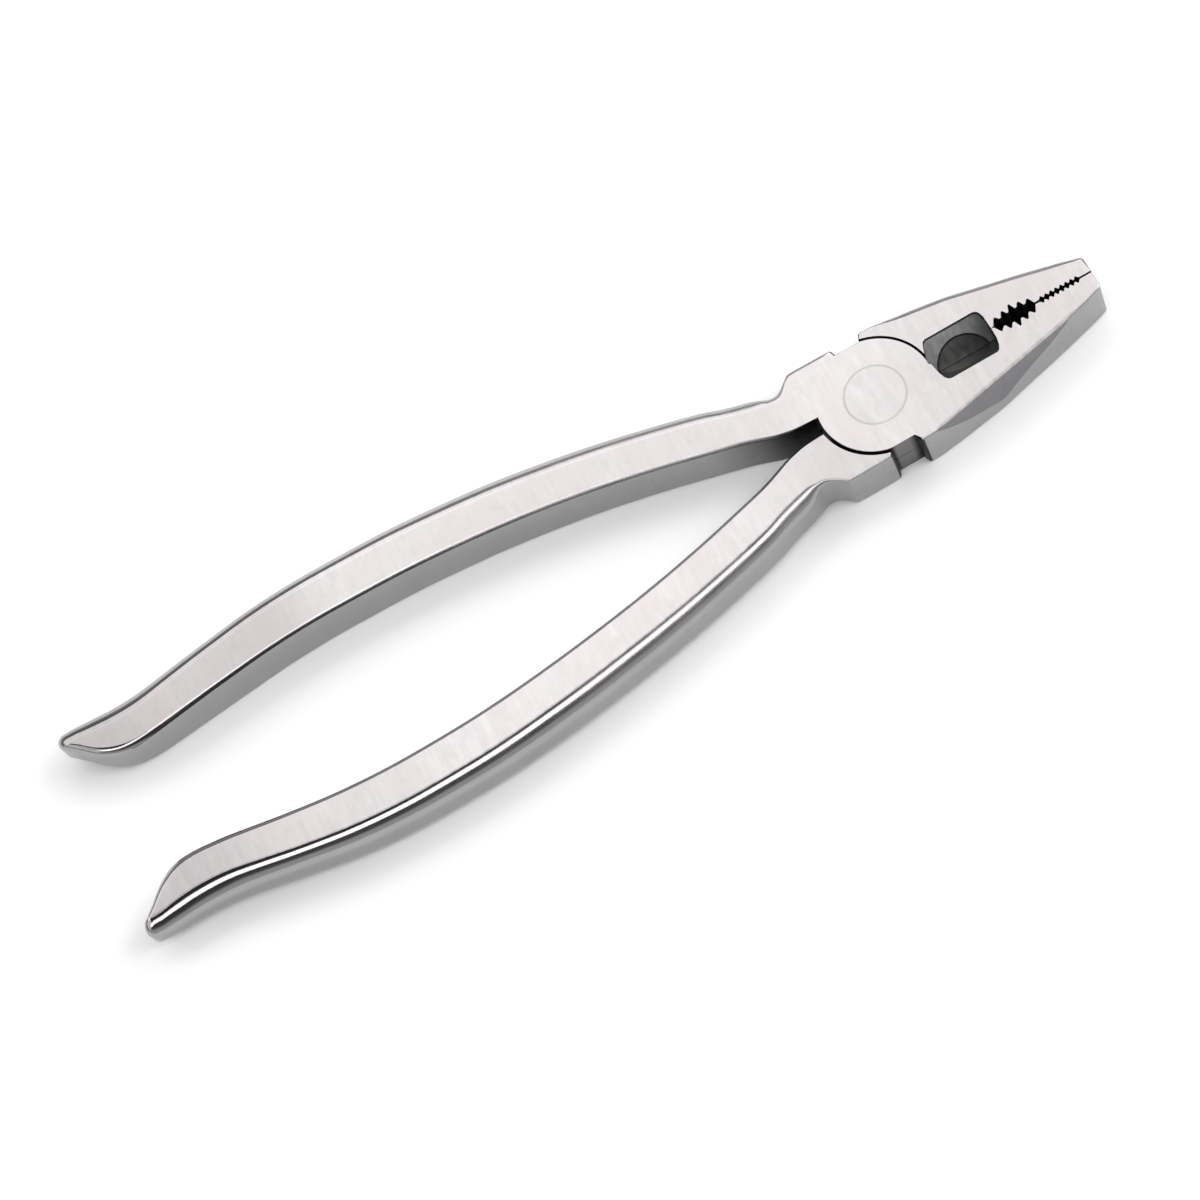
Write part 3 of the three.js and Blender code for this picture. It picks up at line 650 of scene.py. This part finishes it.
def steel(name, ground, polished, ground_rough, polished_rough, streak_dir=(1.0, 0.12, 1.0), painted_light_steps=None):
    """Satin ground flats, with cross-wise grinding streaks, and polished sides and edges."""
    mat, nt, bsdf = node_tree(name)
    tc = nt.nodes.new("ShaderNodeTexCoord")
    geo = nt.nodes.new("ShaderNodeNewGeometry")
    coord = tc.outputs["Object"]
    sep = nt.nodes.new("ShaderNodeSeparateXYZ")
    nt.links.new(geo.outputs["Normal"], sep.inputs[0])
    absz = nt.nodes.new("ShaderNodeMath")
    absz.operation = "ABSOLUTE"
    nt.links.new(sep.outputs["Z"], absz.inputs[0])
    is_flat = ramp(nt, absz.outputs[0], 0.9915, 0.9947, 0.0, 1.0, "SMOOTHSTEP")
    streaks = noise(nt, coord, 900.0, 4.0, 0.6, stretch=streak_dir)
    blotch = noise(nt, coord, 130.0, 3.0, 0.5, stretch=(1.0, 0.45, 1.0))
    fine = noise(nt, coord, 2600.0, 2.0, 0.5)
    g = mix_colour(nt, ramp(nt, streaks, 0.32, 0.68, 0.0, 1.0), tuple(c * 0.93 for c in ground) + (1,), tuple(min(1, c * 1.05) for c in ground) + (1,))
    warm = (ground[0] * 0.985, ground[1] * 0.93, ground[2] * 0.925, 1)
    g = mix_colour(nt, ramp(nt, blotch, 0.42, 0.72, 0.0, 0.85), g, warm)
    mottle = noise(nt, coord, 520.0, 3.0, 0.6, stretch=(1.0, 0.6, 1.0))
    g = mix_colour(nt, ramp(nt, mottle, 0.5, 0.74, 0.0, 0.55), g, tuple(c * 0.86 for c in ground) + (1,))
    p = mix_colour(nt, ramp(nt, blotch, 0.3, 0.7, 0.0, 1.0), tuple(c * 0.95 for c in polished) + (1,), polished + (1,))
    # soft ring where the head is peened and ground flush
    plan = nt.nodes.new("ShaderNodeVectorMath")
    plan.operation = "MULTIPLY"
    plan.inputs[1].default_value = (1, 1, 0)
    nt.links.new(coord, plan.inputs[0])
    radius = nt.nodes.new("ShaderNodeVectorMath")
    radius.operation = "LENGTH"
    nt.links.new(plan.outputs["Vector"], radius.inputs[0])
    ring = multiply(nt, ramp(nt, radius.outputs["Value"], 0.00542, 0.00564, 0.0, 1.0, "SMOOTHSTEP"), ramp(nt, radius.outputs["Value"], 0.00586, 0.00608, 1.0, 0.0, "SMOOTHSTEP"))
    g = mix_colour(nt, multiply(nt, ring, ramp(nt, blotch, 0.3, 0.7, 0.6, 1.0)), g, tuple(c * 0.76 for c in ground) + (1,))
    # tuned, not observed: factors along x set until the render's tones met the photo's under these lights
    # painted light: the steps brighten and darken the flats along the tool, darker at the handle ends, in place of the
    # key light's reflection
    where = nt.nodes.new("ShaderNodeSeparateXYZ")
    nt.links.new(coord, where.inputs[0])
    if painted_light_steps:
        g = scaled(nt, g, gain(nt, where.outputs["X"], painted_light_steps))
    # painted light: polished faces turned upwards get a lighter colour, close to the flats', than the polished sides,
    # for how the key light falls on them
    upward = ramp(nt, absz.outputs[0], 0.6, 0.88, 0.0, 1.0, "SMOOTHSTEP")
    p = mix_colour(nt, upward, p, mix_colour(nt, 1.0, g, (0.78, 0.785, 0.785, 1), "MULTIPLY"))
    body = mix_colour(nt, is_flat, p, g)
    # tuned, not observed: painted shade, darker walls in the fork between the handles where little light reaches
    along = ramp(nt, where.outputs["X"], -0.034, -0.0145, 0.0, 1.0, "SMOOTHSTEP")
    absy = nt.nodes.new("ShaderNodeMath")
    absy.operation = "ABSOLUTE"
    nt.links.new(where.outputs["Y"], absy.inputs[0])
    near = ramp(nt, absy.outputs[0], 0.0055, 0.0085, 1.0, 0.0, "SMOOTHSTEP")
    past = ramp(nt, where.outputs["X"], -0.0118, -0.0112, 1.0, 0.0)
    wall = ramp(nt, is_flat, 0.0, 0.5, 0.93, 0.0)
    fac = multiply(nt, multiply(nt, along, near), multiply(nt, wall, past))
    nt.links.new(mix_colour(nt, fac, body, (0.035, 0.032, 0.03, 1)), bsdf.inputs["Base Color"])
    gr = ramp(nt, streaks, 0.3, 0.7, ground_rough - 0.05, ground_rough + 0.06)
    # satin near the joint, polished by the hand towards the ends
    pr = multiply(nt, ramp(nt, blotch, 0.3, 0.7, polished_rough - 0.015, polished_rough + 0.02), ramp(nt, where.outputs["X"], -0.125, -0.045, 0.85, 2.3))
    nt.links.new(mix_value(nt, is_flat, pr, gr), bsdf.inputs["Roughness"])
    bsdf.inputs["Metallic"].default_value = 1.0
    bump = nt.nodes.new("ShaderNodeBump")
    bump.inputs["Strength"].default_value = 0.12
    bump.inputs["Distance"].default_value = 0.00002
    height = nt.nodes.new("ShaderNodeMath")
    height.operation = "MULTIPLY"
    nt.links.new(mix_value(nt, is_flat, fine, streaks), height.inputs[0])
    nt.links.new(mix_value(nt, is_flat, 0.05, 1.0), height.inputs[1])
    nt.links.new(height.outputs[0], bump.inputs["Height"])
    nt.links.new(bump.outputs[0], bsdf.inputs["Normal"])
    return mat


def dark_steel(name, base, rough, shade_fade=None, metal=1.0):
    """Hardened, unpolished steel inside the window, the teeth and the joint, with painted shade: its dark colour and
    its fade stand in for the shadow and dark reflections in these recesses.
    """
    mat, nt, bsdf = node_tree(name)
    tc = nt.nodes.new("ShaderNodeTexCoord")
    coord = tc.outputs["Object"]
    grain = noise(nt, coord, 1500.0, 4.0, 0.6, stretch=(1.0, 0.3, 0.3))
    cloud = noise(nt, coord, 260.0, 3.0, 0.5)
    c = mix_colour(nt, ramp(nt, grain, 0.3, 0.7, 0.0, 1.0), tuple(v * 0.8 for v in base) + (1,), tuple(v * 1.15 for v in base) + (1,))
    c = mix_colour(nt, ramp(nt, cloud, 0.4, 0.75, 0.0, 0.5), c, (base[0] * 0.7, base[1] * 0.68, base[2] * 0.66, 1))
    if shade_fade:
        where = nt.nodes.new("ShaderNodeSeparateXYZ")
        nt.links.new(coord, where.inputs[0])
        c = mix_colour(nt, ramp(nt, where.outputs["X"], shade_fade[0], shade_fade[1], 0.0, 1.0), c, tuple(v * shade_fade[2] for v in base) + (1,))
    nt.links.new(c, bsdf.inputs["Base Color"])
    nt.links.new(ramp(nt, grain, 0.3, 0.7, rough - 0.06, rough + 0.08), bsdf.inputs["Roughness"])
    bsdf.inputs["Metallic"].default_value = metal
    bump = nt.nodes.new("ShaderNodeBump")
    bump.inputs["Strength"].default_value = 0.25
    bump.inputs["Distance"].default_value = 0.00003
    nt.links.new(grain, bump.inputs["Height"])
    nt.links.new(bump.outputs[0], bsdf.inputs["Normal"])
    return mat


def side_steel(name, base, rough, stretch, ends=None):
    """Ground but not polished: the jaw's side facet and the joint's notch."""
    mat, nt, bsdf = node_tree(name)
    tc = nt.nodes.new("ShaderNodeTexCoord")
    coord = tc.outputs["Object"]
    lines = noise(nt, coord, 1300.0, 4.0, 0.6, stretch=stretch)
    cloud = noise(nt, coord, 190.0, 3.0, 0.5)
    c = mix_colour(nt, ramp(nt, lines, 0.32, 0.68, 0.0, 1.0), tuple(v * 0.88 for v in base) + (1,), tuple(v * 1.1 for v in base) + (1,))
    c = mix_colour(nt, ramp(nt, cloud, 0.35, 0.75, 0.0, 0.6), c, (base[0] * 0.88, base[1] * 0.86, base[2] * 0.88, 1))
    if ends:
        # painted shade: darker into the two inner corners, where the notch lies in shadow
        where = nt.nodes.new("ShaderNodeSeparateXYZ")
        nt.links.new(coord, where.inputs[0])
        left = ramp(nt, where.outputs["X"], ends[0], ends[1], 1.0, 0.0)
        right = ramp(nt, where.outputs["X"], ends[2], ends[3], 0.0, 1.0)
        both = nt.nodes.new("ShaderNodeMath")
        both.operation = "MAXIMUM"
        nt.links.new(left, both.inputs[0])
        nt.links.new(right, both.inputs[1])
        c = mix_colour(nt, both.outputs[0], c, (0.012, 0.012, 0.012, 1))
    nt.links.new(c, bsdf.inputs["Base Color"])
    nt.links.new(ramp(nt, lines, 0.3, 0.7, rough - 0.05, rough + 0.07), bsdf.inputs["Roughness"])
    bsdf.inputs["Metallic"].default_value = 1.0
    bump = nt.nodes.new("ShaderNodeBump")
    bump.inputs["Strength"].default_value = 0.15
    bump.inputs["Distance"].default_value = 0.00002
    nt.links.new(lines, bump.inputs["Height"])
    nt.links.new(bump.outputs[0], bsdf.inputs["Normal"])
    return mat


def finish_piece(ob, materials, pick, angle=24.0):
    me = ob.data
    me.transform(Matrix.Scale(0.001, 4))
    me.materials.clear()
    for m in materials:
        me.materials.append(m)
    for p in me.polygons:
        p.material_index = pick(p.center * 1000, p.normal)
    me.update()
    flat_normals(me, angle)
    me.update()


# painted light: the steps along x brighten and darken the flats in place of the key light's reflection
LOWER_STEEL = steel("lower_lever_satin_steel", (0.69, 0.665, 0.665), (0.362, 0.362, 0.368), 0.36, 0.12, painted_light_steps=(
    (0.016, -0.002, 1.11), (-0.01, -0.022, 0.925), (-0.102, -0.119, 0.79), (-0.141, -0.153, 0.87)))
UPPER_STEEL = steel("upper_lever_satin_steel", (0.695, 0.67, 0.672), (0.362, 0.362, 0.368), 0.36, 0.12, painted_light_steps=(
    (-0.012, -0.03, 1.16), (-0.035, -0.06, 1.06), (-0.092, -0.12, 0.89), (-0.124, -0.152, 0.74)))
RIVET_STEEL = steel("rivet_satin_steel", (0.745, 0.72, 0.722), (0.34, 0.34, 0.34), 0.37, 0.25, streak_dir=(1.0, 0.2, 1.0))
# painted light and shade: lit and shaded copies of the blade steel, the lighter one on the upper lever's upward window
# bevel, the darker one on the lower lever's, the lighter one fading darker towards the tip end of the window
BEVEL_PAINTED_LIGHT = dark_steel("hardened_bevel_painted_light", (0.52, 0.52, 0.53), 0.36, shade_fade=(0.0155, 0.0245, 0.4), metal=0.75)
BEVEL_PAINTED_SHADE = dark_steel("hardened_bevel_painted_shade", (0.12, 0.12, 0.12), 0.4)
# painted shade: the spot's and the joint's dark colours, and the spot's fade, stand in for the shade in the window,
# the teeth and the joint
SPOT_STEEL = dark_steel("ground_spot_steel", (0.25, 0.25, 0.245), 0.36, shade_fade=(0.0150, 0.0235, 0.36))
INNER_PAINTED_SHADE = dark_steel("joint_inner_painted_shade", (0.07, 0.07, 0.07), 0.5)
FACET_STEEL = side_steel("ground_facet_steel", (0.213, 0.208, 0.22), 0.3, (0.25, 1.0, 1.0))
# painted shade: the notch steel darkens into the notch's two inner corners
NOTCH_STEEL = side_steel("joint_notch_steel", (0.2, 0.194, 0.194), 0.4, (1.0, 1.0, 0.2), ends=(-0.00235, -0.0018, 0.0010, 0.0021))


ALPHA = math.atan(SLOPE)


def pick_for(sign):
    """Material slot for a face of the lower (+1) or upper (-1) lever, by where it is."""
    def pick(c, n):
        x, y, z = c.x, c.y * sign, (c.z if sign > 0 else T - c.z)
        ny, nz = n.y * sign, n.z * sign
        flat = abs(n.z) > 0.999 and (z < 0.03 or z > T - 0.03)
        if flat:
            return 0
        if 11.2 < x < 24.4 and -WINDOW_HALF - 0.1 < y < 0.2 and 0.02 < z < T - 0.02:
            top = z > MID
            zz, mz = (z, nz) if top else (T - z, -nz)
            if abs(mz) < 0.3:
                return 2
            q = Vector((x - SPOT_X, y + BLADE_PART, zz - MID - 0.02))
            along = q.y * math.cos(ALPHA) - q.z * math.sin(ALPHA) - SPOT_BELOW
            deep = q.y * math.sin(ALPHA) + q.z * math.cos(ALPHA)
            rr = math.hypot(q.x, along)
            if rr < SPOT_R + 0.01 and deep < 0.315 and mz > 0:
                return 2 if rr > SPOT_R - 0.6 else 6
            return 5 if top else 1
        if 24.2 < x < 44.7 and -2.6 < y < 0.0 and abs(n.z) < 0.9:
            return 2
        if x > 4 and abs(y - (FACET_Y + FACET_SLOPE * (x - 8) + FACET_LEAN * (z - FACET_Z))) < 0.01 and ny < -0.9:
            return 3
        r = math.hypot(x, y)
        if abs(x) < 3.2 and abs(y) > 10.7 and abs(nz) < 0.95:
            return 4
        if r < 11.9 and z < MID + 0.2 and 0.05 < z:
            return 2
        if r < 6.2:
            return 2
        if 11.0 < r < DISC_R + 0.05 and abs(n.z) < 0.5:
            return 2
        return 0
    return pick


def build():
    lower = make_lever("lower_lever_skin")
    upper = lower.copy()
    upper.data = lower.data.copy()
    upper.name = "upper_lever_skin"
    upper.data.name = "upper_lever_skin"
    bpy.context.scene.collection.objects.link(upper)
    upper.data.transform(Matrix(((1, 0, 0, 0), (0, -1, 0, 0), (0, 0, -1, T), (0, 0, 0, 1))))
    bend_handle(lower.data, SET_LOWER)
    bend_handle(upper.data, SET_UPPER)
    finish_piece(lower, [LOWER_STEEL, BEVEL_PAINTED_LIGHT, INNER_PAINTED_SHADE, FACET_STEEL, NOTCH_STEEL, BEVEL_PAINTED_SHADE, SPOT_STEEL], pick_for(1))
    finish_piece(upper, [UPPER_STEEL, BEVEL_PAINTED_LIGHT, INNER_PAINTED_SHADE, FACET_STEEL, NOTCH_STEEL, BEVEL_PAINTED_SHADE, SPOT_STEEL], pick_for(-1))
    rivet = mesh_object("rivet_skin", *turned([
        (0, 0), (RIVET_HEAD_R - 0.3, 0), (RIVET_HEAD_R - 0.02, 0.003), (RIVET_HEAD_R, 0.02), (RIVET_SHANK_R, RIVET_SINK),
        (RIVET_SHANK_R, T - RIVET_SINK), (RIVET_HEAD_R, T - 0.02), (RIVET_HEAD_R - 0.02, T - 0.003),
        (RIVET_HEAD_R - 0.3, T), (0, T),
    ], 128))
    finish_piece(rivet, [RIVET_STEEL], lambda c, n: 0, 30.0)
    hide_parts("lower_jaw_lever")
    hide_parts("upper_jaw_lever")
    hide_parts("pivot_rivet")
    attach(lower, "lower_jaw_half")
    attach(upper, "upper_jaw_half")
    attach(rivet, "lower_jaw_half")
    return lower, upper, rivet


build()

# ---- camera ------------------------------------------------------------------------------------------
def camera():
    tx, ty, th, ph, ro, f, dist = -61.5146795, -8.38674547, 0.433453524, -1.49492687, -0.587203300, 4001.55102, 721.622227
    d = Vector((math.sin(th) * math.cos(ph), math.sin(th) * math.sin(ph), math.cos(th)))
    target = Vector((tx, ty, T))
    eye = target + dist * d
    z = -d
    right = z.cross(Vector((0, 0, 1))).normalized()
    up = right.cross(z)
    r2 = math.cos(ro) * right + math.sin(ro) * up
    u2 = -math.sin(ro) * right + math.cos(ro) * up
    cam = bpy.data.cameras.new("camera")
    cam.sensor_width = 36.0
    cam.lens = f / 1200 * 36
    cam.clip_start, cam.clip_end = 0.01, 50
    ob = bpy.data.objects.new("camera", cam)
    ob.matrix_world = Matrix((
        (r2.x, u2.x, d.x, eye.x * 0.001), (r2.y, u2.y, d.y, eye.y * 0.001), (r2.z, u2.z, d.z, eye.z * 0.001), (0, 0, 0, 1)))
    bpy.context.scene.collection.objects.link(ob)
    bpy.context.scene.camera = ob


camera()

# ---- floor and light ----------------------------------------------------------------------------------
def floor():
    s = 6.0
    ob = mesh_object("floor", [(-s, -s, -0.0002), (s, -s, -0.0002), (s, s, -0.0002), (-s, s, -0.0002)], [(0, 1, 2, 3)])
    mat, nt, bsdf = node_tree("white_table")
    bsdf.inputs["Base Color"].default_value = (0.93, 0.93, 0.93, 1)
    bsdf.inputs["Roughness"].default_value = 0.9
    bsdf.inputs["Specular IOR Level"].default_value = 0.0
    ob.data.materials.append(mat)


def area_light(name, angle_deg, distance, size_x, size_y, radiance, x=-0.06, tint=(1, 1, 1)):
    """A soft box seen from the tool at angle_deg from straight up, leaning towards -Y."""
    a = math.radians(angle_deg)
    li = bpy.data.lights.new(name, "AREA")
    li.shape = "RECTANGLE"
    li.size, li.size_y = size_x, size_y
    li.energy = radiance * math.pi * size_x * size_y  # watts for that radiance
    li.color = tint
    ob = bpy.data.objects.new(name, li)
    pos = Vector((x, -math.sin(a) * distance, math.cos(a) * distance))
    ob.location = pos
    # light looks along -Z: aim at the tool, long side along X
    zax = (pos - Vector((x, 0, 0))).normalized()
    xax = Vector((1, 0, 0))
    yax = zax.cross(xax)
    ob.matrix_world = Matrix(((xax.x, yax.x, zax.x, pos.x), (xax.y, yax.y, zax.y, pos.y), (xax.z, yax.z, zax.z, pos.z), (0, 0, 0, 1)))
    bpy.context.scene.collection.objects.link(ob)
    return ob


floor()
area_light("key", -40.5, 1.6, 3.6, 1.18, 1.56, tint=(1.0, 0.985, 0.985))
area_light("front", 18.5, 1.7, 3.2, 0.62, 2.5)
for side in (-1, 1):
    fill = area_light("side", 0, 1.6, 1.1, 1.3, 2.2 + 1.3 * side, x=0.0)
    fill.matrix_world = Matrix.Translation((-0.06, 0, 0)) @ Matrix.Rotation(side * math.radians(52), 4, "Y") @ Matrix.Translation((0, 0, 1.6))

# dark overhead, paler towards the horizon
world = bpy.data.worlds.new("studio")
world.use_nodes = True
wt = world.node_tree
bg = wt.nodes["Background"]
bg.inputs["Color"].default_value = (0.985, 0.985, 1.0, 1)
wc = wt.nodes.new("ShaderNodeTexCoord")
ws = wt.nodes.new("ShaderNodeSeparateXYZ")
wt.links.new(wc.outputs["Generated"], ws.inputs[0])
low = ramp(wt, ws.outputs["Z"], 0.0, 1.0, 1.0, 0.0)
glow = ramp(wt, multiply(wt, low, low), 0.0, 1.0, 0.035, 0.46)
# and paler still low down in front
ahead = multiply(wt, ramp(wt, ws.outputs["Y"], -0.45, -0.1, 1.0, 0.0, "SMOOTHSTEP"), ramp(wt, ws.outputs["Z"], 0.38, 0.58, 0.34, 0.0, "SMOOTHSTEP"))
both = wt.nodes.new("ShaderNodeMath")
both.operation = "ADD"
wt.links.new(glow, both.inputs[0])
wt.links.new(ahead, both.inputs[1])
glow = both.outputs[0]
wt.links.new(glow, bg.inputs["Strength"])
bpy.context.scene.world = world
bpy.context.scene.view_settings.view_transform = "Standard"
